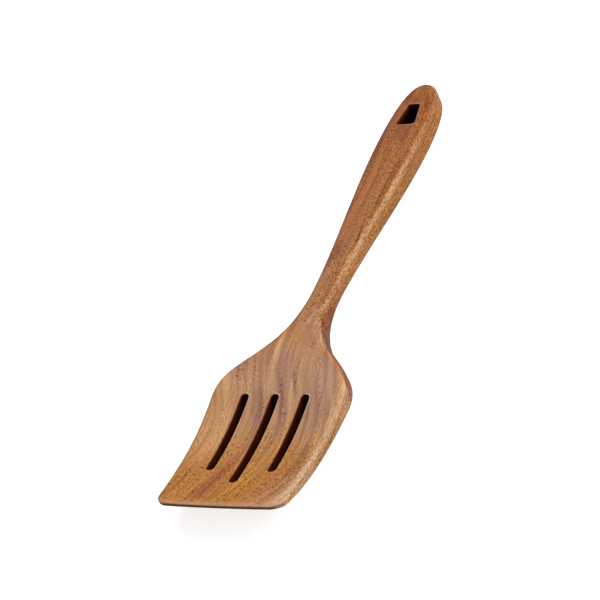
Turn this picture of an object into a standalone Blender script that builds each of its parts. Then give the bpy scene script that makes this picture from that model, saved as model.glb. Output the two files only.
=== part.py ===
"""Slotted wooden turner, sawn and sanded out of one board.

The blade points along -Y, the handle along +Y, and the top of the board faces +Z.
The origin is under the middle of the length, on the surface that the turner lies on.
Sizes are in metres. A place called "from the tip" is measured along +Y from the front edge.
"""

import math

import bmesh
import bpy
import numpy as np
from mathutils import Vector
from mathutils.geometry import interpolate_bezier

# Board
LENGTH = 0.340
BOARD_THICKNESS = 0.0165

# Blade in plan
TIP_WIDTH = 0.0770
TIP_BOW = 0.0010
TIP_CORNER_RADIUS = 0.0070
BLADE_WIDTH = 0.0842
BLADE_LENGTH = 0.082

# Shoulders and neck in plan
SHOULDER_REACH = 0.030
NECK_REACH = 0.057
NECK_WIDTH = 0.0160
NECK_FROM_SHOULDER = 0.080

# Handle in plan
NECK_FLARE_REACH = 0.038
HANDLE_FLARE_REACH = 0.039
HANDLE_WIDTH = 0.0294
HANDLE_END_LENGTH = 0.055
HANDLE_END_FULLNESS = 0.70

# Top seen from the side: a scoop in the blade, then the flat face of the board
SCOOP_DEPTH = 0.0073
SCOOP_PAST_SHOULDER = 0.040
SCOOP_TIP_REACH = 0.069
SCOOP_HANDLE_REACH = 0.040

# Underside seen from the side: a rising blade, a heel, an arch under the neck and a flat at the end
TIP_THICKNESS = 0.0022
TIP_UNDERCUT_SLOPE = 0.46
TIP_UNDERCUT_REACH = 0.023
HEEL_LENGTH = 0.007
HEEL_REACH = 0.026
ARCH_HEIGHT = 0.0049
ARCH_HEEL_REACH = 0.020
ARCH_NECK_REACH = 0.030
ARCH_RETURN_REACH = 0.010
ARCH_HANDLE_REACH = 0.030
REST_LENGTH = 0.022

# Rounded edges, whose radius grows from the tip over the rounding length
TIP_EDGE_RADIUS = 0.0007
HANDLE_EDGE_RADIUS = 0.0045
ROUNDING_LENGTH = 0.120
EDGE_STEPS = 4

# Slots
SLOT_WIDTH = 0.0050
SLOT_SPACING = 0.0190
SLOT_PAST_SHOULDER = 0.0017
OUTER_SLOT_LENGTH = 0.0543
MIDDLE_SLOT_LENGTH = 0.0638

# Hanging hole, which tapers towards the end of the handle
HOLE_START_WIDTH = 0.0126
HOLE_END_WIDTH = 0.0076
HOLE_LENGTH = 0.0182
HOLE_CORNER_RADIUS = 0.0020
HOLE_FROM_END = 0.0210

# How far a cutter stands out above and below the board, and the steps round each of its corners
CUTTER_CLEARANCE = 0.002
CORNER_STEPS = 8

# An arc of a quarter turn is drawn by Bezier handles this share of its radius long
QUARTER_ARC = 0.5523

# A Bezier span with one handle off its line bows out by this share of that handle's offset
ONE_HANDLE_BOW = 4 / 9

NECK_Y = BLADE_LENGTH + NECK_FROM_SHOULDER
HANDLE_WIDEST_Y = LENGTH - HANDLE_END_LENGTH


def clear_scene():
    """Remove every object of the open file."""
    for old in list(bpy.data.objects):
        bpy.data.objects.remove(old, do_unlink=True)


def bezier(start, leave, arrive, end, steps):
    """Points along one cubic Bezier span, from its start up to the point before its end."""
    corners = [Vector((x, y, 0.0)) for x, y in (start, leave, arrive, end)]
    return [(p.x, p.y) for p in interpolate_bezier(*corners, steps + 1)[:-1]]


def half_outline():
    """Plan of the right half, from the middle of the tip round to the middle of the handle end."""
    tip, blade = TIP_WIDTH / 2, BLADE_WIDTH / 2
    neck, handle = NECK_WIDTH / 2, HANDLE_WIDTH / 2
    side = Vector((blade - tip, BLADE_LENGTH)).normalized()
    front = Vector((tip, 2 * TIP_BOW)).normalized()

    corner_start = Vector((tip - TIP_CORNER_RADIUS, 0.0))
    corner_start.y = TIP_BOW * (corner_start.x / tip) ** 2
    corner_end = Vector((tip, 0.0)) + side * (TIP_CORNER_RADIUS + TIP_BOW)
    corner_handle = TIP_CORNER_RADIUS * QUARTER_ARC
    shoulder = Vector((blade, BLADE_LENGTH))
    end_length = LENGTH - HANDLE_WIDEST_Y

    outline = bezier(
        (0.0, 0.0), (corner_start.x / 3, 0.0), corner_start - front * (corner_start.x / 3), corner_start, 6
    )
    outline += bezier(
        corner_start, corner_start + front * corner_handle, corner_end - side * corner_handle, corner_end, 5
    )
    outline += bezier(
        corner_end, corner_end.lerp(shoulder, 1 / 3), corner_end.lerp(shoulder, 2 / 3), shoulder, 12
    )
    outline += bezier(
        shoulder, shoulder + side * SHOULDER_REACH, (neck, NECK_Y - NECK_REACH), (neck, NECK_Y), 24
    )
    outline += bezier(
        (neck, NECK_Y), (neck, NECK_Y + NECK_FLARE_REACH),
        (handle, HANDLE_WIDEST_Y - HANDLE_FLARE_REACH), (handle, HANDLE_WIDEST_Y), 18
    )
    outline += bezier(
        (handle, HANDLE_WIDEST_Y), (handle, HANDLE_WIDEST_Y + HANDLE_END_FULLNESS * end_length),
        (HANDLE_END_FULLNESS * handle, LENGTH), (0.0, LENGTH), 18
    )
    outline.append((0.0, LENGTH))
    return np.array(outline)


def top_height(y):
    """Height of the top at distances y from the tip: the scoop, then the flat of the board."""
    scoop_end = BLADE_LENGTH + SCOOP_PAST_SHOULDER
    dip = BOARD_THICKNESS - SCOOP_DEPTH / ONE_HANDLE_BOW
    curve = bezier(
        (0.0, BOARD_THICKNESS), (SCOOP_TIP_REACH, dip),
        (scoop_end - SCOOP_HANDLE_REACH, BOARD_THICKNESS), (scoop_end, BOARD_THICKNESS), 60
    )
    curve += [(scoop_end, BOARD_THICKNESS), (LENGTH, BOARD_THICKNESS)]
    return np.interp(y, *np.array(curve).T)


def underside_height(y):
    """Height of the underside at distances y from the tip: blade, heel, arch and end flat."""
    tip = BOARD_THICKNESS - TIP_THICKNESS
    heel_start = BLADE_LENGTH - HEEL_LENGTH
    rest_start = LENGTH - REST_LENGTH
    curve = bezier(
        (0.0, tip), (TIP_UNDERCUT_REACH, tip - TIP_UNDERCUT_SLOPE * TIP_UNDERCUT_REACH),
        (heel_start - HEEL_REACH, 0.0), (heel_start, 0.0), 40
    )
    curve.append((heel_start, 0.0))
    curve += bezier(
        (BLADE_LENGTH, 0.0), (BLADE_LENGTH + ARCH_HEEL_REACH, 0.0),
        (NECK_Y - ARCH_NECK_REACH, ARCH_HEIGHT), (NECK_Y, ARCH_HEIGHT), 40
    )
    curve += bezier(
        (NECK_Y, ARCH_HEIGHT), (NECK_Y + ARCH_RETURN_REACH, ARCH_HEIGHT),
        (rest_start - ARCH_HANDLE_REACH, 0.0), (rest_start, 0.0), 60
    )
    curve += [(rest_start, 0.0), (LENGTH, 0.0)]
    return np.interp(y, *np.array(curve).T)


def edge_radius(y):
    """Radius of the rounded edge: small at the tip, full past the shoulders, and within the wall."""
    along = np.clip(y / ROUNDING_LENGTH, 0.0, 1.0)
    ease = along * along * (3 - 2 * along)
    radius = TIP_EDGE_RADIUS + (HANDLE_EDGE_RADIUS - TIP_EDGE_RADIUS) * ease
    wall = top_height(y) - underside_height(y)
    return np.minimum(radius, 0.45 * wall)


def mirrored(points):
    """A half outline followed by its mirror image in X, as one closed ring."""
    return np.concatenate([points, points[-2:0:-1] * (-1, 1)])


def outward(ring):
    """Unit normals of a closed ring of plan points, pointing away from the wood."""
    along = np.roll(ring, -1, axis=0) - np.roll(ring, 1, axis=0)
    normal = np.stack([along[:, 1], -along[:, 0]], axis=1)
    return normal / np.linalg.norm(normal, axis=1)[:, None]


def body_rings():
    """Rings of points from the top face, over both rounded edges, to the underside."""
    ring = mirrored(half_outline())
    normal = outward(ring)
    radius = edge_radius(ring[:, 1])
    rings = []
    angles = np.linspace(0.0, math.pi / 2, EDGE_STEPS + 1)
    for face_height, sign, turn in ((top_height, -1, angles), (underside_height, 1, angles[::-1])):
        for angle in turn:
            plan = ring - normal * (radius * (1 - math.sin(angle)))[:, None]
            z = face_height(plan[:, 1]) + sign * radius * (1 - math.cos(angle))
            rings.append(np.column_stack([plan, z]))
    return rings


def close_face(bm, ring):
    """Close a ring with strips that run straight across from the right side to the left."""
    for i in range(len(ring) // 2):
        corners = [ring[i], ring[i + 1], ring[-i - 1], ring[-i]]
        bm.faces.new(dict.fromkeys(corners))


def wood():
    """Oiled hardwood, mid brown."""
    material = bpy.data.materials.new("oiled_hardwood")
    material.use_nodes = True
    shader = material.node_tree.nodes["Principled BSDF"]
    shader.inputs["Base Color"].default_value = (0.42, 0.21, 0.10, 1.0)
    shader.inputs["Roughness"].default_value = 0.5
    shader.inputs["Metallic"].default_value = 0.0
    return material


def add_object(name, bm):
    """Turn a finished bmesh into a named object that stands on the part's origin."""
    mesh = bpy.data.meshes.new(name)
    bmesh.ops.recalc_face_normals(bm, faces=bm.faces)
    bm.to_mesh(mesh)
    bm.free()
    added = bpy.data.objects.new(name, mesh)
    added.location = (0.0, -LENGTH / 2, 0.0)
    bpy.context.scene.collection.objects.link(added)
    return added


def blank():
    """The turner without its slots and hole."""
    bm = bmesh.new()
    loops = [[bm.verts.new(point) for point in ring] for ring in body_rings()]
    for upper, lower in zip(loops, loops[1:]):
        edges = []
        for loop in (upper, lower):
            for a, b in zip(loop, loop[1:] + loop[:1]):
                edges.append(bm.edges.get((a, b)) or bm.edges.new((a, b)))
        bmesh.ops.bridge_loops(bm, edges=edges)
    close_face(bm, loops[0])
    close_face(bm, loops[-1])
    return add_object("spatula", bm)


def through_cutter(name, start_width, end_width, start_y, end_y, corner_radius, x=0.0):
    """A prism through the board. Its plan has straight ends, sides that run from one width to the other
    and round corners, each an arc from the direction square to one side to the direction square to the next.
    """
    lean = math.atan2((start_width - end_width) / 2, end_y - start_y)
    drift = corner_radius * math.tan(lean)
    inset = corner_radius / math.cos(lean)
    start_x = start_width / 2 - drift - inset
    end_x = end_width / 2 + drift - inset
    quarter = math.pi / 2
    arcs = (
        (end_x, end_y - corner_radius, lean, quarter),
        (-end_x, end_y - corner_radius, quarter, 2 * quarter - lean),
        (-start_x, start_y + corner_radius, 2 * quarter - lean, 3 * quarter),
        (start_x, start_y + corner_radius, 3 * quarter, 4 * quarter + lean),
    )
    bm = bmesh.new()
    corners = []
    for centre_x, centre_y, first, last in arcs:
        for step in range(CORNER_STEPS + 1):
            angle = first + (last - first) * step / CORNER_STEPS
            round_x = x + centre_x + corner_radius * math.cos(angle)
            round_y = centre_y + corner_radius * math.sin(angle)
            corners.append(bm.verts.new((round_x, round_y, -CUTTER_CLEARANCE)))
    bm.faces.new(corners)
    bmesh.ops.remove_doubles(bm, verts=bm.verts, dist=1e-6)
    grown = bmesh.ops.extrude_face_region(bm, geom=list(bm.faces))
    raised = [item for item in grown["geom"] if isinstance(item, bmesh.types.BMVert)]
    bmesh.ops.translate(bm, verts=raised, vec=(0.0, 0.0, BOARD_THICKNESS + 2 * CUTTER_CLEARANCE))
    cutter = add_object(name, bm)
    cutter.hide_render = True
    cutter.display_type = "WIRE"
    return cutter


def slot_cutters():
    """Three slots side by side, all ending at one line near the shoulders."""
    end_y = BLADE_LENGTH + SLOT_PAST_SHOULDER
    slots = (
        ("left_slot_cutter", -SLOT_SPACING, OUTER_SLOT_LENGTH),
        ("middle_slot_cutter", 0.0, MIDDLE_SLOT_LENGTH),
        ("right_slot_cutter", SLOT_SPACING, OUTER_SLOT_LENGTH),
    )
    return [
        through_cutter(name, SLOT_WIDTH, SLOT_WIDTH, end_y - length, end_y, SLOT_WIDTH / 2, x)
        for name, x, length in slots
    ]


def hole_cutter():
    """The hanging hole near the end of the handle."""
    end_y = LENGTH - HOLE_FROM_END
    start_y = end_y - HOLE_LENGTH
    return through_cutter(
        "hanging_hole_cutter", HOLE_START_WIDTH, HOLE_END_WIDTH, start_y, end_y, HOLE_CORNER_RADIUS
    )


def build():
    """Make the turner and cut its openings."""
    clear_scene()
    spatula = blank()
    spatula.data.materials.append(wood())
    for cutter in slot_cutters() + [hole_cutter()]:
        cut = spatula.modifiers.new(cutter.name, "BOOLEAN")
        cut.operation = "DIFFERENCE"
        cut.solver = "EXACT"
        cut.object = cutter
    spatula.data.shade_smooth()
    spatula.data.set_sharp_from_angle(angle=math.radians(35))


build()
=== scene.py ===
"""Fine surface, finish, light and camera of a slotted wooden turner.

Sizes are in metres, as in the frame, except where a comment says mm. The blade points along -Y, the
handle along +Y, and the top of the board faces +Z. The shapes are worked out with y measured from the tip,
the middle of the blade's front edge, and the finished mesh is moved to the frame's places.
"""

import math

import bpy
import numpy as np
from mathutils import Matrix, Vector


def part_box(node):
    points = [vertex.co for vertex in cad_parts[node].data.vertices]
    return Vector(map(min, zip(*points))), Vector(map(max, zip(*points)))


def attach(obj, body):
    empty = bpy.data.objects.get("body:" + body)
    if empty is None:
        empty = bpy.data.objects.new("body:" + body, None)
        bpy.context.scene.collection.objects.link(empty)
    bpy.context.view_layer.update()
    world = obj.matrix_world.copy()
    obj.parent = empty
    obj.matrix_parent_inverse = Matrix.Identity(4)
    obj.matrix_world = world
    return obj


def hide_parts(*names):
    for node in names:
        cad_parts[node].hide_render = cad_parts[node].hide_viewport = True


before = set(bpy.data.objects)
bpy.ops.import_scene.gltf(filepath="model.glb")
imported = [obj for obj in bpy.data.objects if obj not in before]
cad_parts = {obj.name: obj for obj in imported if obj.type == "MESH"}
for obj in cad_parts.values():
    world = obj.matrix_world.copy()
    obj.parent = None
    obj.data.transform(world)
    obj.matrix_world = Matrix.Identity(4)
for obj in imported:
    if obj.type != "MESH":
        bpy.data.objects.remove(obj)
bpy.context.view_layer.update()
LOW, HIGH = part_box("spatula")

MM = 0.001

# Board, read from the frame
LENGTH = HIGH.y - LOW.y
BLADE_WIDTH = HIGH.x - LOW.x
BOARD_THICKNESS = HIGH.z - LOW.z

# Blade in plan
TIP_WIDTH = 0.0770
TIP_BOW = 0.0010
TIP_CORNER_RADIUS = 0.0070
BLADE_LENGTH = 0.082

# Shoulders, neck and handle in plan
SHOULDER_REACH = 0.030
NECK_REACH = 0.057
NECK_WIDTH = 0.0160
NECK_FROM_SHOULDER = 0.080
NECK_FLARE_REACH = 0.038
HANDLE_FLARE_REACH = 0.039
HANDLE_WIDTH = 0.0294
HANDLE_END_LENGTH = 0.055
HANDLE_END_FULLNESS = 0.70

# Top seen from the side
SCOOP_DEPTH = 0.0073
SCOOP_PAST_SHOULDER = 0.040
SCOOP_TIP_REACH = 0.069
SCOOP_HANDLE_REACH = 0.040

# Underside seen from the side
TIP_THICKNESS = 0.0022
TIP_UNDERCUT_SLOPE = 0.46
TIP_UNDERCUT_REACH = 0.023
HEEL_LENGTH = 0.007
HEEL_REACH = 0.026
ARCH_HEIGHT = 0.0049
ARCH_HEEL_REACH = 0.020
ARCH_NECK_REACH = 0.030
ARCH_RETURN_REACH = 0.010
ARCH_HANDLE_REACH = 0.030
REST_LENGTH = 0.022

# Rounded edges of the board, which take at most a share of its wall, and the smaller easing of its openings
TIP_EDGE_RADIUS = 0.0007
HANDLE_EDGE_RADIUS = 0.0045
ROUNDING_LENGTH = 0.120
EDGE_SHARE_OF_WALL = 0.45
OPENING_EASE = 0.00045

# Slots and hanging hole
SLOT_WIDTH = 0.0050
SLOT_SPACING = 0.0190
SLOT_PAST_SHOULDER = 0.0017
OUTER_SLOT_LENGTH = 0.0543
MIDDLE_SLOT_LENGTH = 0.0638
HOLE_START_WIDTH = 0.0126
HOLE_END_WIDTH = 0.0076
HOLE_LENGTH = 0.0182
HOLE_CORNER_RADIUS = 0.0020
HOLE_FROM_END = 0.0210

# Cubic spans: the handles of a quarter arc for a radius of 1, and the dip of a span for one handle 1 deep
QUARTER_ARC = 0.5523
ONE_HANDLE_BOW = 4 / 9

# Places from the tip that follow from these
NECK_Y = BLADE_LENGTH + NECK_FROM_SHOULDER
HANDLE_WIDEST_Y = LENGTH - HANDLE_END_LENGTH
SLOT_END_Y = BLADE_LENGTH + SLOT_PAST_SHOULDER
HOLE_END_Y = LENGTH - HOLE_FROM_END

# How finely the surface is drawn
CURVE_STEPS = 300
EDGE_STEPS = 10
WALL_STEPS = 6
EASE_STEPS = 5
SLOT_HALF_COLUMNS = 6
WEB_COLUMNS = 10
SIDE_COLUMNS = 12
SLOT_END_ROWS = 6
HOLE_CORNER_ROWS = 6
ROW_SPACING = 0.0012
FEWEST_ROWS = 3

# Stretches over which the columns change from the slots' lines to the hole's, and over which the rows
# straighten behind the bowed tip
SLOT_LINES_END = 0.088
HANDLE_LINES_START = 0.116
HOLE_LINES_FROM = 0.270
HOLE_LINES_START = 0.297
TIP_ROUNDING = 0.012

# Round corners are worked into the grid out to this many times their radius
SLOT_CORNER_SPREAD = 2.2
HOLE_CORNER_SPREAD = 1.9

# How far in from the right-hand edge the blade's top gets the painted highlight, where that ends and how
# softly
EDGE_HIGHLIGHT_REACH = 0.0028
EDGE_HIGHLIGHT_TOP_END = 0.110
EDGE_HIGHLIGHT_TOP_FADE = 0.020

# How strong the painted highlight on the rims of the openings is: on the top's edge and on the first lines
# down the eased round
RIM_HIGHLIGHT_SHARES = (1.0, 1.0, 0.7, 0.3)

# Keeps a division away from zero
TINY = 1e-9


def smooth(t):
    """Smooth step 3 t^2 - 2 t^3 from 0 to 1, held outside."""
    t = np.clip(t, 0.0, 1.0)
    return t * t * (3 - 2 * t)


def bezier(start, leave, arrive, end):
    """Cubic span without its last point: corners weighted by (1-t)^3, 3 t (1-t)^2, 3 t^2 (1-t) and t^3."""
    t = np.linspace(0.0, 1.0, CURVE_STEPS, endpoint=False)[:, None]
    weights = np.hstack([(1 - t) ** 3, 3 * t * (1 - t) ** 2, 3 * t * t * (1 - t), t**3])
    return weights @ np.array([start, leave, arrive, end], float)


def half_outline():
    """Plan of the right half from the middle of the tip to the middle of the handle end, in cubic spans."""
    tip, blade = TIP_WIDTH / 2, BLADE_WIDTH / 2
    neck, handle = NECK_WIDTH / 2, HANDLE_WIDTH / 2
    side = np.array((blade - tip, BLADE_LENGTH)) / math.hypot(blade - tip, BLADE_LENGTH)
    front = np.array((tip, 2 * TIP_BOW)) / math.hypot(tip, 2 * TIP_BOW)
    start_x = tip - TIP_CORNER_RADIUS
    corner_start = np.array((start_x, TIP_BOW * (start_x / tip) ** 2))
    corner_end = np.array((tip, 0.0)) + side * (TIP_CORNER_RADIUS + TIP_BOW)
    turn = TIP_CORNER_RADIUS * QUARTER_ARC
    shoulder = np.array((blade, BLADE_LENGTH))
    end_length = LENGTH - HANDLE_WIDEST_Y
    spans = (
        ((0.0, 0.0), (start_x / 3, 0.0), corner_start - front * (start_x / 3), corner_start),
        (corner_start, corner_start + front * turn, corner_end - side * turn, corner_end),
        (corner_end, (2 * corner_end + shoulder) / 3, (corner_end + 2 * shoulder) / 3, shoulder),
        (shoulder, shoulder + side * SHOULDER_REACH, (neck, NECK_Y - NECK_REACH), (neck, NECK_Y)),
        (
            (neck, NECK_Y), (neck, NECK_Y + NECK_FLARE_REACH),
            (handle, HANDLE_WIDEST_Y - HANDLE_FLARE_REACH), (handle, HANDLE_WIDEST_Y),
        ),
        (
            (handle, HANDLE_WIDEST_Y), (handle, HANDLE_WIDEST_Y + HANDLE_END_FULLNESS * end_length),
            (HANDLE_END_FULLNESS * handle, LENGTH), (0.0, LENGTH),
        ),
    )
    return np.vstack([bezier(*span) for span in spans] + [(0.0, LENGTH)])


def top_height(y):
    """Height of the top at y from the tip: one span for the scoop, then the flat face of the board."""
    end = BLADE_LENGTH + SCOOP_PAST_SHOULDER
    dip = BOARD_THICKNESS - SCOOP_DEPTH / ONE_HANDLE_BOW
    level = BOARD_THICKNESS
    scoop = bezier((0.0, level), (SCOOP_TIP_REACH, dip), (end - SCOOP_HANDLE_REACH, level), (end, level))
    curve = np.vstack([scoop, (end, level), (LENGTH, level)])
    return np.interp(y, curve[:, 0], curve[:, 1])


def underside_height(y):
    """Height of the underside at y from the tip: cubic spans for blade and arch, and flats between them."""
    tip = BOARD_THICKNESS - TIP_THICKNESS
    heel_start = BLADE_LENGTH - HEEL_LENGTH
    rest_start = LENGTH - REST_LENGTH
    spans = (
        (
            (0.0, tip), (TIP_UNDERCUT_REACH, tip - TIP_UNDERCUT_SLOPE * TIP_UNDERCUT_REACH),
            (heel_start - HEEL_REACH, 0.0), (heel_start, 0.0),
        ),
        (
            (BLADE_LENGTH, 0.0), (BLADE_LENGTH + ARCH_HEEL_REACH, 0.0),
            (NECK_Y - ARCH_NECK_REACH, ARCH_HEIGHT), (NECK_Y, ARCH_HEIGHT),
        ),
        (
            (NECK_Y, ARCH_HEIGHT), (NECK_Y + ARCH_RETURN_REACH, ARCH_HEIGHT),
            (rest_start - ARCH_HANDLE_REACH, 0.0), (rest_start, 0.0),
        ),
    )
    blade, arch, arch_end = (bezier(*span) for span in spans)
    curve = np.vstack([blade, (heel_start, 0.0), arch, arch_end, (rest_start, 0.0), (LENGTH, 0.0)])
    return np.interp(y, curve[:, 0], curve[:, 1])


def edge_radius(y):
    """Radius of the rounded edge: a smooth step from the tip's to the handle's, within the wall."""
    radius = TIP_EDGE_RADIUS + (HANDLE_EDGE_RADIUS - TIP_EDGE_RADIUS) * smooth(y / ROUNDING_LENGTH)
    return np.minimum(radius, EDGE_SHARE_OF_WALL * (top_height(y) - underside_height(y)))


def graded(knots, counts):
    """Values that run evenly from each knot to the next, in the given counts of steps."""
    runs = [np.linspace(a, b, n, endpoint=False) for a, b, n in zip(knots, knots[1:], counts)]
    return np.concatenate(runs + [knots[-1:]])


class Grid:
    """Plan grid of the board: rows across it, and columns that follow the openings and the sides."""

    def __init__(self):
        self.plan = half_outline()
        along = np.gradient(self.plan, axis=0)
        outward = np.column_stack([along[:, 1], -along[:, 0]])
        self.normal = outward / np.linalg.norm(outward, axis=1)[:, None]
        self.radius = edge_radius(self.plan[:, 1])
        self.inset = self.plan - self.normal * self.radius[:, None]
        lean = self.normal[:, 0] - np.abs(self.normal[:, 1])
        # The corners are where the outline faces halfway round, in its first two spans and in its sixth
        tip_end, handle_end = 2 * CURVE_STEPS, 5 * CURVE_STEPS
        self.tip_corner = int(np.argmin(np.abs(lean[:tip_end])))
        self.end_corner = handle_end + int(np.argmin(np.abs(lean[handle_end:])))
        self.rows = self.row_lines()
        self.x, self.y = self.points()

    def row_lines(self):
        """Places of the rows, with one at each end and each corner centre of the slots and the hole."""
        slot_end = SLOT_WIDTH / 2 + OPENING_EASE
        corner = HOLE_CORNER_RADIUS + OPENING_EASE
        middle_start = SLOT_END_Y - MIDDLE_SLOT_LENGTH - OPENING_EASE
        outer_start = SLOT_END_Y - OUTER_SLOT_LENGTH - OPENING_EASE
        slots_end = SLOT_END_Y + OPENING_EASE
        hole_start = HOLE_END_Y - HOLE_LENGTH - OPENING_EASE
        hole_end = HOLE_END_Y + OPENING_EASE
        knots = [
            self.inset[self.tip_corner, 1],
            middle_start, middle_start + slot_end,
            outer_start, outer_start + slot_end,
            slots_end - slot_end, slots_end,
            hole_start, hole_start + corner,
            hole_end - corner, hole_end,
            self.inset[self.end_corner, 1],
        ]
        counts = [max(FEWEST_ROWS, round((b - a) / ROW_SPACING)) for a, b in zip(knots, knots[1:])]
        # The pairs of knots hold the slots' round ends, and then the hole's corners
        counts[1:6:2] = [SLOT_END_ROWS] * 3
        counts[7:10:2] = [HOLE_CORNER_ROWS] * 2
        counts[-1] = 2 * HOLE_CORNER_ROWS
        self.row_marks = np.cumsum([0] + counts)
        return graded(knots, counts)

    def points(self):
        """Plan places: columns shared out between the openings and the side, then bent at ends and corners.

        Near the tip and the handle's end the rows take up the outline's bulge, by the square of a share.
        """
        rows = self.rows
        side = slice(self.tip_corner, self.end_corner + 1)
        width = np.interp(rows, self.inset[side, 1], self.inset[side, 0])
        counts = [SLOT_HALF_COLUMNS, WEB_COLUMNS, 2 * SLOT_HALF_COLUMNS, SIDE_COLUMNS]
        self.column_marks = np.cumsum([0] + counts)
        share = self.column_marks[:4] / self.column_marks[4]
        half_slot = SLOT_WIDTH / 2 + OPENING_EASE
        slot_lines = np.array([0.0, half_slot, SLOT_SPACING - half_slot, SLOT_SPACING + half_slot])
        hole = OPENINGS[-1]
        hole_lines = hole.half_width(rows)[:, None] * self.column_marks[:4] / self.column_marks[3]
        on_handle = smooth((rows - SLOT_LINES_END) / (HANDLE_LINES_START - SLOT_LINES_END))[:, None]
        hole_end = HOLE_END_Y + OPENING_EASE
        at_hole = smooth((rows - HOLE_LINES_FROM) / (HOLE_LINES_START - HOLE_LINES_FROM))
        at_hole = at_hole * smooth((rows[-1] - rows) / (rows[-1] - hole_end))
        at_hole = at_hole[:, None]
        handle_lines = (1 - at_hole) * share * width[:, None] + at_hole * hole_lines
        lines = np.column_stack([(1 - on_handle) * slot_lines + on_handle * handle_lines, width])

        half = self.column_marks[-1]
        column = np.arange(-half, half + 1)
        segment = np.clip(np.searchsorted(self.column_marks, np.abs(column), side="right") - 1, 0, 3)
        part = (np.abs(column) - self.column_marks[segment]) / np.array(counts)[segment]
        x = np.sign(column) * (lines[:, segment] + (lines[:, segment + 1] - lines[:, segment]) * part)
        y = np.repeat(rows[:, None], len(column), axis=1)

        tip = slice(0, self.tip_corner + 1)
        tip_bulge = np.interp(np.abs(x[0]), self.inset[tip, 0], self.inset[tip, 1]) - rows[0]
        y = y + tip_bulge * np.clip(1 - (rows - rows[0]) / TIP_ROUNDING, 0, 1)[:, None] ** 2
        end = self.inset[: self.end_corner - 1 : -1]
        end_bulge = np.interp(np.abs(x[-1]), end[:, 0], end[:, 1]) - rows[-1]
        end_start = hole_end + HOLE_CORNER_RADIUS * (HOLE_CORNER_SPREAD - 1)
        y = y + end_bulge * np.clip((rows - end_start) / (rows[-1] - end_start), 0, 1)[:, None] ** 2
        for opening in OPENINGS:
            x, y = opening.round_corners(x, y)
            rim = loop_round(*self.block(opening))
            x[rim], y[rim] = opening.place_at(x[rim], y[rim], opening.rim)
        return x, y

    def block(self, opening):
        """First and last row, first and last column of the grid's block inside an opening's rim."""
        first_row, last_row = self.row_marks[list(opening.rows)]
        middle = self.column_marks[-1]
        sides = [middle + int(np.sign(mark)) * self.column_marks[abs(mark)] for mark in opening.columns]
        return first_row, last_row, *sides


class Opening:
    """A four-sided hole through the board with round corners, and the grid lines that run round its rim."""

    def __init__(self, x, widths, start, end, radius, spread, columns, rows):
        self.widths, self.start, self.end = widths, start, end
        self.lean = math.atan2((widths[0] - widths[1]) / 2, end - start)
        drift, inset = radius * math.tan(self.lean), radius / math.cos(self.lean)
        first, last = widths[0] / 2 - drift - inset, widths[1] / 2 + drift - inset
        low, high = start + radius, end - radius
        self.centres = np.array([(x + first, low), (x + last, high), (x - last, high), (x - first, low)])
        self.signs = ((1, -1), (1, 1), (-1, 1), (-1, -1))
        self.radius, self.rim, self.spread = radius, radius + OPENING_EASE, spread
        self.columns, self.rows = columns, rows

    def half_width(self, y):
        """Half width at y, out to the rim of the eased edge."""
        to_wall = np.interp(y, (self.start, self.end), np.array(self.widths) / 2)
        return to_wall + OPENING_EASE / math.cos(self.lean)

    def round_corners(self, x, y):
        """Bend the grid at each corner: squares round its centre become circles, less so with distance."""
        for (cx, cy), (sx, sy) in zip(self.centres, self.signs):
            a, b = sx * (x - cx), sy * (y - cy)
            reach = np.maximum(np.maximum(a, b), TINY)
            angle = np.where(a >= b, math.pi / 4 * b / reach, math.pi / 2 - math.pi / 4 * a / reach)
            weight = 1 - smooth((reach / self.rim - 1) / (self.spread - 1))
            weight = weight * ((a >= -TINY) & (b >= -TINY))
            x = x + sx * weight * (reach * np.cos(angle) - a)
            y = y + sy * weight * (reach * np.sin(angle) - b)
        return x, y

    def place_at(self, x, y, distance):
        """Move places to a distance from the outline of the corner centres, straight away from it."""
        places = np.stack([x, y], axis=-1)[:, None]
        run = np.roll(self.centres, -1, axis=0) - self.centres
        share = ((places - self.centres) * run).sum(-1) / np.maximum((run**2).sum(-1), TINY)
        feet = self.centres + np.clip(share, 0, 1)[..., None] * run
        away = places - feet
        gaps = np.linalg.norm(away, axis=-1)
        nearest = (np.arange(len(gaps)), gaps.argmin(axis=1))
        foot, away = feet[nearest], away[nearest] / gaps[nearest][:, None]
        return foot[:, 0] + away[:, 0] * distance, foot[:, 1] + away[:, 1] * distance


def loop_round(first_row, last_row, first_column, last_column):
    """Rows and columns of the grid points round a block, anticlockwise seen from above."""
    across = np.arange(first_column, last_column)
    up = np.arange(first_row, last_row)
    rows = [np.full(len(across), first_row), up, np.full(len(across), last_row), up[::-1] + 1]
    columns = [across, np.full(len(up), last_column), across[::-1] + 1, np.full(len(up), first_column)]
    return np.concatenate(rows), np.concatenate(columns)


def make_openings():
    """The three slots and the hanging hole, each with the column and row marks that it lies between."""
    slot = (SLOT_WIDTH, SLOT_WIDTH)
    outer, middle = SLOT_END_Y - OUTER_SLOT_LENGTH, SLOT_END_Y - MIDDLE_SLOT_LENGTH
    radius, spread = SLOT_WIDTH / 2, SLOT_CORNER_SPREAD
    hole = (HOLE_START_WIDTH, HOLE_END_WIDTH)
    corner, corner_spread = HOLE_CORNER_RADIUS, HOLE_CORNER_SPREAD
    return [
        Opening(-SLOT_SPACING, slot, outer, SLOT_END_Y, radius, spread, (-3, -2), (3, 6)),
        Opening(0.0, slot, middle, SLOT_END_Y, radius, spread, (-1, 1), (1, 6)),
        Opening(SLOT_SPACING, slot, outer, SLOT_END_Y, radius, spread, (2, 3), (3, 6)),
        Opening(0.0, hole, HOLE_END_Y - HOLE_LENGTH, HOLE_END_Y, corner, corner_spread, (-3, 3), (7, 10)),
    ]


OPENINGS = make_openings()


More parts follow.
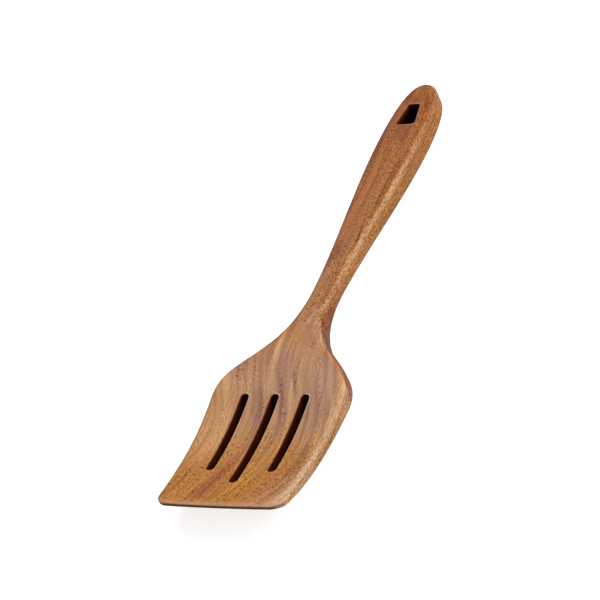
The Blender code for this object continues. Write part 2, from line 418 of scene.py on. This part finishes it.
class Surface:
    """Points and four-sided faces gathered for one closed mesh, with marks that the finish reads."""

    def __init__(self):
        self.points, self.faces, self.marks = [], [], {}
        self.count = 0

    def add_points(self, x, y, z):
        """Add an array of points and return their numbers in the same shape."""
        numbers = self.count + np.arange(x.size).reshape(x.shape)
        self.points.append(np.column_stack([x.ravel(), y.ravel(), z.ravel()]))
        self.count += x.size
        return numbers

    def mark(self, label, numbers, values):
        """Give points values under a label. Points without one have 0."""
        self.marks.setdefault(label, []).append((numbers, values))

    def add_sheet(self, numbers, keep, facing_up):
        """Faces between neighbouring rows and columns where keep is true."""
        a, b, c, d = numbers[:-1, :-1], numbers[:-1, 1:], numbers[1:, 1:], numbers[1:, :-1]
        corners = (a, b, c, d) if facing_up else (a, d, c, b)
        self.faces.append(np.stack(corners, axis=-1)[keep])

    def add_band(self, rings, outward):
        """Faces between closed rings that follow each other downwards."""
        upper, lower = rings[:-1], rings[1:]
        next_upper, next_lower = np.roll(upper, -1, axis=1), np.roll(lower, -1, axis=1)
        corners = (upper, lower, next_lower, next_upper)
        if not outward:
            corners = (upper, next_upper, next_lower, lower)
        self.faces.append(np.stack(corners, axis=-1).reshape(-1, 4))


def rounded_wall(surface, start, finish, plan_at, radius, outward, steps, cut=False):
    """A wall from the top sheet's ring to the underside's, with a quarter round at each end.

    plan_at(g) gives plan places at a distance g from the wall's own line towards the sheet. On the quarter
    round at angle t that distance is radius (1 - sin t), and the drop from the sheet is radius (1 - cos t).
    The cut mark grows as 0.5 sin t there, and as 0.5 + 0.5 sin (pi s) at a share s of the wall's height.
    """
    turn = np.linspace(0.0, math.pi / 2, steps + 1)[1:, None]
    gap, drop = radius * (1 - np.sin(turn)), radius * (1 - np.cos(turn))
    upper_x, upper_y = plan_at(gap)
    upper_z = top_height(upper_y) - drop
    lower_z = underside_height(upper_y) + drop
    share = np.linspace(0.0, 1.0, WALL_STEPS + 1)[1:-1, None]
    wall_z = upper_z[-1] + (lower_z[-1] - upper_z[-1]) * share
    wall_x = np.broadcast_to(upper_x[-1], wall_z.shape)
    wall_y = np.broadcast_to(upper_y[-1], wall_z.shape)
    x = np.vstack([upper_x, wall_x, upper_x[::-1]])
    y = np.vstack([upper_y, wall_y, upper_y[::-1]])
    z = np.vstack([upper_z, wall_z, lower_z[::-1]])
    numbers = surface.add_points(x, y, z)
    if cut:
        rim = np.sin(turn) * 0.5
        surface.mark("cut_wall", numbers, np.vstack([rim, 0.5 + 0.5 * np.sin(math.pi * share), rim[::-1]]))
    surface.add_band(np.vstack([start, numbers, finish]), outward)
    return numbers


def outer_wall(surface, grid, top, under):
    """The board's own edge: the outline's stations that match the grid's border, rounded above and below.

    The right edge mark is a painted highlight on the upper quarter round. It is a smooth step of how far
    the outline faces right, from 0.1 to 0.5, and fades over the last 0.45 radian of the round. Past the end
    of the blade's top highlight it also grows down the round, from 0.35 to 0.85 radian.
    """
    last_row, last_column = grid.x.shape[0] - 1, grid.x.shape[1] - 1
    rows, columns = loop_round(0, last_row, 0, last_column)
    x, y = grid.x[rows, columns], grid.y[rows, columns]
    station = np.arange(len(grid.plan))
    tip, end = slice(0, grid.tip_corner + 1), slice(None, grid.end_corner - 1, -1)
    side = slice(grid.tip_corner, grid.end_corner + 1)
    at = np.interp(y, grid.inset[side, 1], station[side])
    at = np.where(rows == 0, np.interp(np.abs(x), grid.inset[tip, 0], station[tip]), at)
    at = np.where(rows == last_row, np.interp(np.abs(x), grid.inset[end, 0], station[end]), at)
    plan_x, plan_y, normal_x, normal_y, radius = (
        np.interp(at, station, values) for values in (*grid.plan.T, *grid.normal.T, grid.radius)
    )
    hand = np.sign(x)

    def plan_at(gap):
        return hand * (plan_x - normal_x * gap), plan_y - normal_y * gap

    start, finish = top[rows, columns], under[rows, columns]
    numbers = rounded_wall(surface, start, finish, plan_at, radius, True, EDGE_STEPS)
    turn = np.linspace(0.0, math.pi / 2, EDGE_STEPS + 1)[1:, None]
    rightward = smooth((hand * normal_x - 0.1) / 0.4)
    growing = np.where(plan_y < EDGE_HIGHLIGHT_TOP_END, 1.0, smooth((turn - 0.35) / 0.5))
    surface.mark("right_edge_highlight", numbers[:EDGE_STEPS], rightward * growing * smooth((1.57 - turn) / 0.45))


def opening_wall(surface, grid, opening, top, under):
    """An opening's wall, which keeps its distance from the outline of the corner centres.

    The rim mark is a painted highlight: a smooth step of how far the rim lies towards the right, and with
    less weight towards the handle or the tip. It fades down the quarter round by the shares listed for it.
    """
    rows, columns = loop_round(*grid.block(opening))
    x, y = grid.x[rows, columns], grid.y[rows, columns]
    zero_x, zero_y = opening.place_at(x, y, 0.0)
    one_x, one_y = opening.place_at(x, y, 1.0)
    away_x, away_y = one_x - zero_x, one_y - zero_y

    def plan_at(gap):
        reach = opening.radius + gap
        return zero_x + away_x * reach, zero_y + away_y * reach

    start, finish = top[rows, columns], under[rows, columns]
    ease = np.full(len(rows), OPENING_EASE)
    numbers = rounded_wall(surface, start, finish, plan_at, ease, False, EASE_STEPS, True)
    endways = np.maximum(0.6 * away_y, -0.35 * away_y)
    toward = smooth((0.8 * away_x + endways + 0.2) / 0.8)
    for share, ring in zip(RIM_HIGHLIGHT_SHARES, (start, *numbers)):
        surface.mark("rim_highlight", ring, toward * share)


def turner_surface():
    """Whole surface: a top and an underside sheet on one plan grid, the outer wall and the openings' walls.

    On the blade's top the right edge mark, a painted highlight, is a smooth step in from the inset side
    over the highlight's reach.
    """
    grid = Grid()
    surface = Surface()
    top = surface.add_points(grid.x, grid.y, top_height(grid.y))
    under = surface.add_points(grid.x, grid.y, underside_height(grid.y))
    side = slice(grid.tip_corner, grid.end_corner + 1)
    from_edge = np.interp(grid.y, grid.inset[side, 1], grid.inset[side, 0]) - grid.x
    on_blade = smooth((EDGE_HIGHLIGHT_TOP_END - grid.y) / EDGE_HIGHLIGHT_TOP_FADE)
    surface.mark("right_edge_highlight", top, on_blade * smooth(1 - from_edge / EDGE_HIGHLIGHT_REACH))
    keep = np.ones((grid.x.shape[0] - 1, grid.x.shape[1] - 1), bool)
    for opening in OPENINGS:
        first_row, last_row, first_column, last_column = grid.block(opening)
        keep[first_row:last_row, first_column:last_column] = False
    surface.add_sheet(top, keep, True)
    surface.add_sheet(under, keep, False)
    outer_wall(surface, grid, top, under)
    for opening in OPENINGS:
        opening_wall(surface, grid, opening, top, under)
    return surface


def add_mesh(name, surface):
    """Turn a surface into a smooth-shaded object at the origin, leaving out points that no face uses.

    Beside the surface's own marks, each point keeps how far it lies below the top, in mm.
    """
    points = np.vstack(surface.points)
    surface.mark("below_top", slice(None), (top_height(points[:, 1]) - points[:, 2]) / MM)
    points = points - (0.0, LENGTH / 2, 0.0)
    used, faces = np.unique(np.vstack(surface.faces), return_inverse=True)
    mesh = bpy.data.meshes.new(name)
    mesh.from_pydata(points[used], [], faces.reshape(-1, 4))
    mesh.shade_smooth()
    for label, parts in surface.marks.items():
        marks = np.zeros(surface.count, np.float32)
        for numbers, values in parts:
            marks[numbers] = values
        mesh.attributes.new(label, "FLOAT", "POINT").data.foreach_set("value", marks[used])
    made = bpy.data.objects.new(name, mesh)
    bpy.context.scene.collection.objects.link(made)
    return made


def linear(code):
    """A colour written as an sRGB hex code, as linear red, green, blue and 1."""
    shares = [int(code[i:i + 2], 16) / 255 for i in (1, 3, 5)]
    return tuple(c / 12.92 if c <= 0.04045 else ((c + 0.055) / 1.055) ** 2.4 for c in shares) + (1.0,)


def add(tree, kind, inputs=(), **settings):
    """Add a node with its settings, and give inputs, in order or by name or number, a value or a link."""
    made = tree.nodes.new("ShaderNode" + kind)
    for name, value in settings.items():
        setattr(made, name, value)
    named = inputs if isinstance(inputs, dict) else dict(enumerate(inputs))
    for socket, value in named.items():
        if isinstance(value, bpy.types.NodeSocket):
            tree.links.new(value, made.inputs[socket])
        else:
            made.inputs[socket].default_value = value
    return made


def new_material(name):
    """An empty node material, as its tree and the material itself."""
    material = bpy.data.materials.new(name)
    material.use_nodes = True
    material.node_tree.nodes.clear()
    return material.node_tree, material


def combine(tree, operation, *terms):
    """Terms put together one after another by an operation.

    A term is a number, a socket, or a smooth step of a value: that value, where the step starts and ends,
    and what it gives there.
    """
    result = None
    for term in terms:
        if isinstance(term, tuple):
            term = add(tree, "MapRange", term, interpolation_type="SMOOTHSTEP").outputs[0]
        if result is not None:
            term = add(tree, "Math", (result, term), operation=operation).outputs[0]
        result = term
    return result


def laid(tree, colour, finish, *terms):
    """Lay a finish over a colour, by a share that is the product of the terms.

    A finish is a hex code or a socket, which is mixed in, or red, green and blue factors, which multiply.
    """
    way = "MIX"
    if isinstance(finish, str):
        finish = linear(finish)
    elif isinstance(finish, tuple):
        finish, way = (*finish, 1.0), "MULTIPLY"
    inputs = {0: combine(tree, "MULTIPLY", *terms), 6: colour, 7: finish}
    return add(tree, "Mix", inputs, data_type="RGBA", blend_type=way).outputs[2]


def colour_along(tree, along, stops):
    """Colour by place from the tip, straight between (place in mm, hex code) stops."""
    share = combine(tree, "DIVIDE", along, LENGTH / MM)
    made = add(tree, "ValToRGB", (share,))
    elements = made.color_ramp.elements
    for place, _ in stops[2:]:
        elements.new(place * MM / LENGTH)
    for element, (place, code) in zip(elements, stops):
        element.position = place * MM / LENGTH
        element.color = linear(code)
    return made.outputs[0]


def grain_noise(tree, place, across, along, detail=2.0, shift=0.0):
    """Soft noise from about 0.2 to 0.8, with features of these sizes in mm across and along the grain."""
    sizes = (1 / across, 1 / along, 1 / across)
    scaled = add(tree, "Mapping", {"Vector": place, "Location": (shift, shift, 0.0), "Scale": sizes})
    return add(tree, "TexNoise", {"Vector": scaled.outputs[0], "Scale": 1.0, "Detail": detail}).outputs[0]


def streaked(tree, colour, place, mark):
    """Lay one streak over a colour: a smooth step of 1 less the distance from its middle, in half sizes."""
    across, along, half_width, half_length, lean, code, strength = mark
    middle, turn = (across, along, 0.0), (0.0, 0.0, math.radians(lean))
    inputs = (place, middle, turn, (half_width, half_length, 1.0))
    fitted = add(tree, "Mapping", inputs, vector_type="TEXTURE").outputs[0]
    nearness = add(tree, "TexGradient", (fitted,), gradient_type="SPHERICAL").outputs[1]
    return laid(tree, colour, code, (nearness, 0.0, 0.7, 0.0, strength))


# Growth rings lie in planes tilted across the board. On the top a ring keeps its x + RING_TILT * height,
# with the height taken from the flat top, so the rings run straight down the handle and curve over the
# scooped blade. Down the walls the value goes on rising, so that no line comes back over the right edge.
RING_TILT = 2.3

# How far the grain wanders sideways in slow bends and in short frays, in mm from one side to the other, and
# the share of the frays that the named lines keep
BEND_WIDTH = 7.0
FRAY_WIDTH = 2.4
LINE_FRAY = 0.3

# Base colour by place from the tip in mm: golden orange and tan in the blade, orange brown in the handle.
# The paler stops at 75 and 90 mm also paint in light on the upper scoop, which tilts away from the lamps.
LENGTH_COLOURS = (
    (0, "#b17022"), (30, "#b16e22"), (52, "#b5782e"), (75, "#bf8654"), (90, "#ce9869"),
    (104, "#b67b4a"), (120, "#ae7139"), (160, "#9d622e"), (186, "#a66935"), (214, "#a16633"),
    (270, "#995d2a"), (300, "#905325"), (340, "#925324"),
)

# The same for the walls that face right, which lie along the rings and are plainer
WALL_COLOURS = (
    (0, "#bc9068"), (30, "#b28660"), (54, "#b08352"), (76, "#ad7f56"), (100, "#a77449"),
    (130, "#986033"), (157, "#89552c"), (185, "#a5703b"), (215, "#9c6631"), (245, "#996732"),
    (275, "#945e2a"), (308, "#8e5a27"), (340, "#905a28"),
)

# Streaks in the heartwood: place across the rings, place from the tip, half width and half length (mm),
# lean (degrees), colour and strength
STREAKS = (
    # Tan and gold grounds
    (-46, 66, 18, 44, 0, "#d29755", 0.75),
    (-38, 18, 18, 26, 0, "#b67a2c", 0.7),
    (-3, 24, 11, 24, 0, "#b87c2e", 0.6),
    (25.5, 34, 5.5, 48, 0, "#cda078", 0.7),
    (33, 12, 10, 20, 0, "#d6aa82", 0.8),
    (-10.5, 108, 3.5, 26, 0, "#cc985c", 0.7),
    (9, 106, 5, 20, 0, "#c49056", 0.6),
    (-2, 78, 2.5, 14, 0, "#c4935f", 0.5),
    (10, 290, 4, 32, 0, "#ac7233", 0.6),
    (-4, 158, 3, 28, 0, "#b07a40", 0.5),
    (0, 274, 3.5, 26, 0, "#b47d42", 0.6),
    (20, 14, 14, 24, 0, "#b9845a", 0.55),
    # Mauve heart of the blade
    (-5, 100, 7, 24, 0, "#a0674f", 0.7),
    (-8, 84, 5, 16, 0, "#a06952", 0.5),
    (-6, 70, 5, 22, 0, "#935f47", 0.6),
    (-21, 76, 5, 24, 0, "#96644c", 0.6),
    (15, 76, 9, 32, 0, "#a8745c", 0.6),
    (21, 92, 9, 20, 0, "#bf8d78", 0.6),
    (2.5, 92, 2.2, 16, 0, "#835044", 0.7),
    (-6.5, 84, 1.5, 12, 0, "#875448", 0.6),
    (4, 150, 4, 30, 0, "#9c6444", 0.5),
    # Red and dark brown
    (-21, 20, 7, 27, 0, "#9b4e24", 0.75),
    (-17, 10, 4, 14, 0, "#944c28", 0.5),
    (17.5, 35, 3.2, 24, 0, "#7a4228", 0.6),
    (17, 15, 3, 12, 0, "#8a5030", 0.4),
    (10, 14, 5, 16, 0, "#9a6230", 0.5),
    (6.5, 300, 4, 34, 0, "#82452c", 0.45),
    (8.5, 262, 2, 26, 0, "#854a2c", 0.4),
    (-9, 290, 5, 44, 0, "#84481f", 0.45),
    (2, 192, 2, 24, 0, "#7a4028", 0.3),
    (-7, 218, 5, 60, 0, "#9a501c", 0.5),
)

# Narrow lines and patches that stay clear of the grain's bends and of the scoop, listed in the same way
LINES = (
    (27, 24, 4, 34, 10, "#d0a888", 0.5),
    (15.2, 46, 1.8, 10, 3, "#7a4630", 0.6),
    (33.2, 97.5, 3.0, 8, 30, "#8c5e48", 0.7),
    (4.6, 143, 3.2, 18, -20, "#cf9d6c", 0.5),
    (11.8, 139, 1.1, 14, 19, "#c99460", 0.65),
    (11, 127, 4.5, 17, 26, "#c79a76", 0.65),
    (22.5, 113, 4.5, 15, 42, "#b98a6c", 0.7),
    (12.7, 131, 0.9, 13, 21, "#4e2610", 0.8),
    (14.4, 132.5, 0.8, 15, 26, "#5a2e16", 0.8),
    (-3.4, 187, 3.4, 20, 0, "#7c3a16", 0.8),
    (-1.5, 177, 3, 12, 0, "#bb8750", 0.5),
    (6.3, 206, 1.1, 26, 6, "#743a1c", 0.8),
    (7.6, 244, 1.1, 32, 0, "#6c3608", 0.65),
    (-1.5, 331, 3, 12, 0, "#ab6e3c", 0.5),
    (7.6, 321, 1.5, 13, 14, "#742c14", 0.8),
    (10, 304, 1.6, 20, 6, "#7e4a1c", 0.65),
    (-6, 330, 4, 16, 0, "#6e3008", 0.8),
)

# Red, green and blue factors for darker and lighter wood, and for the painted shade on the neck and on the
# left and lower edges
DARK_RING, LIGHT_RING = (0.70, 0.60, 0.51), (1.17, 1.25, 1.32)
DARK_LINE, LIGHT_LINE = (0.66, 0.53, 0.45), (1.20, 1.26, 1.34)
DARK_PORE, LIGHT_PORE = (0.58, 0.43, 0.28), (1.24, 1.36, 1.48)
NECK_SHADE, NECK_WALL_SHADE = (0.78, 0.69, 0.63), (0.78, 0.68, 0.60)
LEFT_EDGE_SHADE, LOWER_EDGE_SHADE = (0.58, 0.48, 0.42), (0.50, 0.40, 0.36)

# Colours laid on the wood: a pale front band, dark end grain that is partly painted shade, painted shade on
# shoulders and in openings, and painted highlights on edges and rims
PALE_FRONT_BAND, END_GRAIN_AND_SHADE, SHOULDER_SHADE = "#c8987c", "#3a1c16", "#543022"
BLADE_EDGE_HIGHLIGHT, HANDLE_EDGE_HIGHLIGHT = "#dab28a", "#ba8e5e"
OPENING_EDGE_SHADE, OPENING_WALL_SHADE, HOLE_DEPTH_SHADE = "#6e3418", "#451b08", "#140502"
RIM_HIGHLIGHT, SLOT_END_HIGHLIGHT = "#e0bc9c", "#ecd2b6"

# Shine of the oiled surface: its roughness where the pore pattern is low and high, its grooves' depth, and
# its specular level seen from above and at a low angle
ROUGHNESS_LOW, ROUGHNESS_HIGH = 0.36, 0.30
GROOVE_DEPTH = 0.08 * MM
GLOSS_ABOVE, GLOSS_LOW = 0.135, 0.03


def grain_places(tree):
    """Places in mm that the wood's patterns follow.

    The first is the place from the tip. Two are (across, along, below the top), for the rings and for fine
    grain, which bends less over the scoop. Two are (across, along), for the streaks with all of the grain's
    bends and frays, and for the lines with a little of the frays.
    """
    from_middle = add(tree, "TexCoord").outputs["Object"]
    origin = (0.0, LENGTH / 2 / MM, -BOARD_THICKNESS / MM)
    inputs = {"Vector": from_middle, "Location": origin, "Scale": (1 / MM, 1 / MM, 1 / MM)}
    place = add(tree, "Mapping", inputs).outputs[0]
    x, along, height = add(tree, "SeparateXYZ", (place,)).outputs
    below = add(tree, "Attribute", attribute_name="below_top").outputs["Fac"]
    scoop = combine(tree, "ADD", height, below)
    across = combine(tree, "ADD", x, below, combine(tree, "MULTIPLY", scoop, RING_TILT))
    straight = add(tree, "CombineXYZ", (across, along, below)).outputs[0]
    bends = combine(tree, "SUBTRACT", grain_noise(tree, straight, 22, 80, 1.0), 0.5)
    bends = combine(tree, "MULTIPLY", bends, BEND_WIDTH)
    frays = combine(tree, "SUBTRACT", grain_noise(tree, straight, 1.4, 12, 2.0, 5.3), 0.5)
    frays = combine(tree, "MULTIPLY", frays, FRAY_WIDTH)
    wandering = combine(tree, "ADD", across, bends, frays)
    gentle = combine(tree, "ADD", x, scoop, bends, frays)
    plain = combine(tree, "ADD", across, combine(tree, "MULTIPLY", frays, LINE_FRAY))
    rings = add(tree, "CombineXYZ", (wandering, along, below)).outputs[0]
    fine = add(tree, "CombineXYZ", (gentle, along, below)).outputs[0]
    for_streaks = add(tree, "CombineXYZ", (wandering, along)).outputs[0]
    for_lines = add(tree, "CombineXYZ", (plain, along)).outputs[0]
    return along, rings, fine, for_streaks, for_lines


def oiled_acacia():
    """Acacia, sanded fine and wiped with oil.

    That gives the eye gold and tan wood with a mauve and red-brown heart, open pores and a soft low shine.
    """
    tree, material = new_material("oiled_acacia")
    along, rings, fine, for_streaks, for_lines = grain_places(tree)

    # Colour along the board, with the streaks and lines laid over it
    colour = colour_along(tree, along, LENGTH_COLOURS)
    for place, marks in ((for_streaks, STREAKS), (for_lines, LINES)):
        for mark in marks:
            colour = streaked(tree, colour, place, mark)

    # Plainer walls on the right, with level at 1 on the top and at 0 on an upright wall
    normal = add(tree, "TexCoord").outputs["Normal"]
    right, toward, up = add(tree, "SeparateXYZ", (normal,)).outputs
    level = add(tree, "Math", (up,), operation="ABSOLUTE").outputs[0]
    side = combine(tree, "MULTIPLY", (level, 0.85, 0.45, 0.0, 0.9), (right, 0.2, 0.5, 0.0, 1.0))
    colour = laid(tree, colour, colour_along(tree, along, WALL_COLOURS), side)

    # Growth lines some 4 mm and 1 mm apart, redder where they are dark
    wide = grain_noise(tree, rings, 3.8, 150, 2.0, 11.7)
    colour = laid(tree, colour, DARK_RING, (wide, 0.50, 0.68, 0.0, 0.8))
    colour = laid(tree, colour, LIGHT_RING, (wide, 0.50, 0.32, 0.0, 0.8))
    narrow = grain_noise(tree, fine, 1.1, 45, 2.0, 3.1)
    colour = laid(tree, colour, DARK_LINE, (narrow, 0.52, 0.70, 0.0, 0.8))
    colour = laid(tree, colour, LIGHT_LINE, (narrow, 0.48, 0.30, 0.0, 0.8))

    # Pores are about 0.2 mm wide and 2 mm long. They are drawn three times as wide so that they show in the
    # picture. They crowd in patches, and more at the tip, in the handle, on its right and on right walls.
    flecks = grain_noise(tree, fine, 0.6, 2.0, 1.0, 7.9)
    patches = grain_noise(tree, rings, 6, 30, 1.0, 19.4)
    across = add(tree, "SeparateXYZ", (for_lines,)).outputs[0]
    on_handle = (along, 100.0, 140.0, 0.0, 1.0)
    on_right = combine(tree, "MULTIPLY", (across, -3.0, 8.0, -0.04, 0.18), on_handle)
    on_walls = combine(tree, "MULTIPLY", side, 0.12)
    lengthwise = ((along, 100.0, 140.0, 0.0, 0.18), (along, 75.0, 25.0, -0.10, 0.11))
    crowd = combine(tree, "ADD", patches, *lengthwise, on_right, on_walls)
    crowding = (crowd, 0.42, 0.62, 0.3, 1.0)
    dark_pores = combine(tree, "MULTIPLY", crowding, (flecks, 0.53, 0.61, 0.0, 0.82))
    colour = laid(tree, colour, DARK_PORE, dark_pores)
    colour = laid(tree, colour, LIGHT_PORE, crowding, (flecks, 0.47, 0.38, 0.0, 1.0))

    # A band a few mm deep behind the front is painted paler. End grain soaks up more oil and goes dark, as
    # on the tip's edge; the dark colour on faces turned to the tip and the handle's end is also painted
    # shade.
    colour = laid(tree, colour, PALE_FRONT_BAND, (along, 5.5, 1.5, 0.0, 0.5))
    endways = add(tree, "Math", (toward,), operation="ABSOLUTE").outputs[0]
    colour = laid(tree, colour, END_GRAIN_AND_SHADE, (endways, 0.75, 0.97, 0.0, 0.8))

    # Painted shade: the faces of the neck and the shoulders that turn towards the handle end are darkened
    # to red brown, where the wood is also cut across the grain
    before_end = (along, 290.0, 280.0, 0.0, 1.0)
    neck = ((toward, 0.02, 0.18, 0.0, 1.0), (level, 0.97, 0.78, 0.0, 1.0), before_end)
    colour = laid(tree, colour, NECK_SHADE, *neck)
    colour = laid(tree, colour, NECK_WALL_SHADE, *neck, (level, 0.85, 0.5, 0.0, 0.9))
    shoulder = ((toward, 0.25, 0.5, 0.0, 0.65), (level, 0.92, 0.70, 0.0, 1.0))
    colour = laid(tree, colour, SHOULDER_SHADE, *shoulder, before_end)

    # Painted shade: the edges that face left and the lower rounded edges that face down are darkened
    colour = laid(tree, colour, LEFT_EDGE_SHADE, (right, -0.3, -0.7, 0.0, 0.6))
    colour = laid(tree, colour, LOWER_EDGE_SHADE, (up, -0.05, -0.45, 0.0, 0.8), (up, -0.99, -0.8, 0.0, 1.0))

    # Painted highlight: the right-hand rounded edges are painted paler, beside the blade and along the
    # lower handle
    edge_highlight = add(tree, "Attribute", attribute_name="right_edge_highlight").outputs["Fac"]
    stretch = combine(tree, "ADD", (along, 84.0, 94.0, 0.85, 0.0), (along, 160.0, 190.0, 0.0, 0.7))
    upper_handle = ((along, 248.0, 272.0, 1.0, 0.4), (along, 316.0, 328.0, 1.0, 0.0))
    between_pores = ((narrow, 0.60, 0.42, 0.3, 1.0), (flecks, 0.60, 0.45, 0.4, 1.0))
    edge_highlight_colour = laid(tree, linear(BLADE_EDGE_HIGHLIGHT), HANDLE_EDGE_HIGHLIGHT, (along, 90.0, 160.0, 0.0, 1.0))
    colour = laid(tree, colour, edge_highlight_colour, edge_highlight, stretch, *upper_handle, *between_pores)

    # Painted shade in the slots and the hole: their walls are darkened, nearly black deep in the hole.
    # Painted highlights lie on the right side and the ends of their rims, most of all on the blade and at
    # the slots' ends by the shoulders.
    cut = add(tree, "Attribute", attribute_name="cut_wall").outputs["Fac"]
    rim = add(tree, "Attribute", attribute_name="rim_highlight").outputs["Fac"]
    colour = laid(tree, colour, OPENING_EDGE_SHADE, (cut, 0.05, 0.35, 0.0, 0.85))
    wall_shade = combine(tree, "MULTIPLY", (cut, 0.35, 0.62, 0.0, 1.0))
    colour = laid(tree, colour, OPENING_WALL_SHADE, wall_shade)
    in_hole = (along, 150.0, 200.0, 0.0, 1.0)
    colour = laid(tree, colour, HOLE_DEPTH_SHADE, (cut, 0.60, 0.86, 0.0, 0.93), in_hole)
    on_blade = ((along, 30.0, 80.0, 0.4, 1.0), (along, 90.0, 120.0, 1.0, 0.6))
    colour = laid(tree, colour, RIM_HIGHLIGHT, (rim, 0.45, 0.9, 0.0, 0.5), *on_blade)
    at_slot_end = ((along, 81.0, 84.0, 0.0, 0.9), (along, 90.0, 100.0, 1.0, 0.0))
    colour = laid(tree, colour, SLOT_END_HIGHLIGHT, *at_slot_end, (rim, 0.5, 1.0, 0.0, 0.85))

    # Raised fibres dull the shine at a low angle. The walls darkened with painted shade have none, and open
    # pores little.
    low_angle = add(tree, "LayerWeight", {"Blend": 0.5}).outputs["Facing"]
    seen = (low_angle, 0.45, 0.85, GLOSS_ABOVE, GLOSS_LOW)
    gloss = combine(tree, "MULTIPLY", seen, (wall_shade, 0.0, 1.0, 1.0, 0.0), (dark_pores, 0.0, 0.8, 1.0, 0.2))
    roughness = add(tree, "MapRange", (flecks, 0.3, 0.7, ROUGHNESS_LOW, ROUGHNESS_HIGH)).outputs[0]
    grooves = combine(tree, "ADD", combine(tree, "MULTIPLY", narrow, 0.4), flecks)
    bump = add(tree, "Bump", {"Strength": 0.25, "Distance": GROOVE_DEPTH, "Height": grooves}).outputs[0]
    finish = {"Base Color": colour, "Roughness": roughness, "Specular IOR Level": gloss, "Normal": bump}
    shader = add(tree, "BsdfPrincipled", finish)
    add(tree, "OutputMaterial", {"Surface": shader.outputs[0]})
    return material


# Where the picture is taken from: degrees round from -Y and above the floor, degrees that the frame leans,
# and metres. The lens and the sensor's width are in mm.
CAMERA_AZIMUTH = 39.31
CAMERA_ELEVATION = 36.88
CAMERA_ROLL = -26.97
CAMERA_DISTANCE = 1.3243
CAMERA_LENS = 142.44
CAMERA_SENSOR = 36.0
CAMERA_FAR = 20.0
CAMERA_AIM = Vector((-0.01089, -0.01826, BOARD_THICKNESS))


def direction(azimuth, elevation):
    """Unit vector to a place at these degrees round from -Y towards +X and above the floor."""
    a, e = math.radians(azimuth), math.radians(elevation)
    return Vector((math.sin(a) * math.cos(e), -math.cos(a) * math.cos(e), math.sin(e)))


def facing(back, roll=0.0):
    """Turn of a camera or lamp whose back points that way, leaned by roll degrees about it."""
    right = Vector((-back.y, back.x, 0.0)).normalized()
    upright = Matrix((right, back.cross(right), back)).transposed()
    return (upright @ Matrix.Rotation(math.radians(roll), 3, "Z")).to_euler()


def photo_camera():
    """The camera, at the picture's distance and lean."""
    data = bpy.data.cameras.new("camera")
    data.sensor_width = CAMERA_SENSOR
    data.lens = CAMERA_LENS
    data.clip_end = CAMERA_FAR
    camera = bpy.data.objects.new("camera", data)
    back = direction(CAMERA_AZIMUTH, CAMERA_ELEVATION)
    camera.location = CAMERA_AIM + back * CAMERA_DISTANCE
    camera.rotation_euler = facing(back, CAMERA_ROLL)
    bpy.context.scene.collection.objects.link(camera)
    bpy.context.scene.camera = camera


def soft_box(name, azimuth, elevation, distance, width, length, roll, level):
    """A lamp facing the turner. Level 1 alone would light a white face turned to it to white."""
    data = bpy.data.lights.new(name, "AREA")
    data.shape = "RECTANGLE"
    data.size, data.size_y = width, length
    data.energy = level * (math.pi * distance) ** 2
    lamp = bpy.data.objects.new(name, data)
    back = direction(azimuth, elevation)
    lamp.location = back * distance
    lamp.rotation_euler = facing(back, roll)
    bpy.context.scene.collection.objects.link(lamp)


# Soft boxes: name, degrees round from -Y and above the floor, distance, width and length in metres, degrees
# that each leans, and level
SOFT_BOXES = (
    ("scoop_box", 231.0, 48.0, 1.2, 0.45, 0.45, 0.0, 0.30),
    ("edge_strip", 134.0, 27.0, 1.2, 0.34, 1.2, -24.0, 1.28),
)

# Light from all round, and the floor's own colour, half width, drop below the turner and lift towards white
AMBIENT = 0.26
FLOOR_GREY = 0.8
FLOOR_HALF = 4.0
FLOOR_DROP = 0.1 * MM
FLOOR_LIFT = 0.80
FLOOR_LIFT_REFLECTED = 0.2


def white_surround():
    """White where the camera, mirrors and glass see the surroundings, and a low even light elsewhere."""
    world = bpy.data.worlds.new("studio")
    world.use_nodes = True
    bpy.context.scene.world = world
    tree = world.node_tree
    tree.nodes.clear()
    rays = add(tree, "LightPath").outputs
    seen = [rays[kind] for kind in ("Is Camera Ray", "Is Glossy Ray", "Is Transmission Ray")]
    seen = combine(tree, "MAXIMUM", *seen)
    strength = add(tree, "MapRange", (seen, 0.0, 1.0, AMBIENT, 1.0)).outputs[0]
    shade = add(tree, "Background", {"Color": (1.0, 1.0, 1.0, 1.0), "Strength": strength})
    add(tree, "OutputWorld", {"Surface": shade.outputs[0]})


def pale_floor():
    """A pale floor that holds the shadow, lifted to white for the camera and a little in reflections."""
    corners = np.array(((-1, -1, 0), (1, -1, 0), (1, 1, 0), (-1, 1, 0))) * FLOOR_HALF
    mesh = bpy.data.meshes.new("floor")
    mesh.from_pydata(corners - (0.0, 0.0, FLOOR_DROP), [], [(0, 1, 2, 3)])
    floor = bpy.data.objects.new("floor", mesh)
    bpy.context.scene.collection.objects.link(floor)
    tree, material = new_material("pale_floor")
    rays = add(tree, "LightPath").outputs
    to_camera = combine(tree, "MULTIPLY", rays["Is Camera Ray"], FLOOR_LIFT)
    reflected = combine(tree, "MULTIPLY", rays["Is Glossy Ray"], FLOOR_LIFT_REFLECTED)
    glow = add(tree, "Emission", {"Strength": combine(tree, "ADD", to_camera, reflected)})
    paint = add(tree, "BsdfDiffuse", {"Color": (FLOOR_GREY, FLOOR_GREY, FLOOR_GREY, 1.0)})
    both = add(tree, "AddShader", (paint.outputs[0], glow.outputs[0]))
    add(tree, "OutputMaterial", {"Surface": both.outputs[0]})
    mesh.materials.append(material)


def build():
    """Make the turner, its surroundings and the camera."""
    turner = add_mesh("turner", turner_surface())
    turner.data.materials.append(oiled_acacia())
    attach(turner, "root")
    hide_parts("spatula")
    photo_camera()
    pale_floor()
    white_surround()
    for box in SOFT_BOXES:
        soft_box(*box)
    bpy.context.scene.view_settings.view_transform = "Standard"


build()
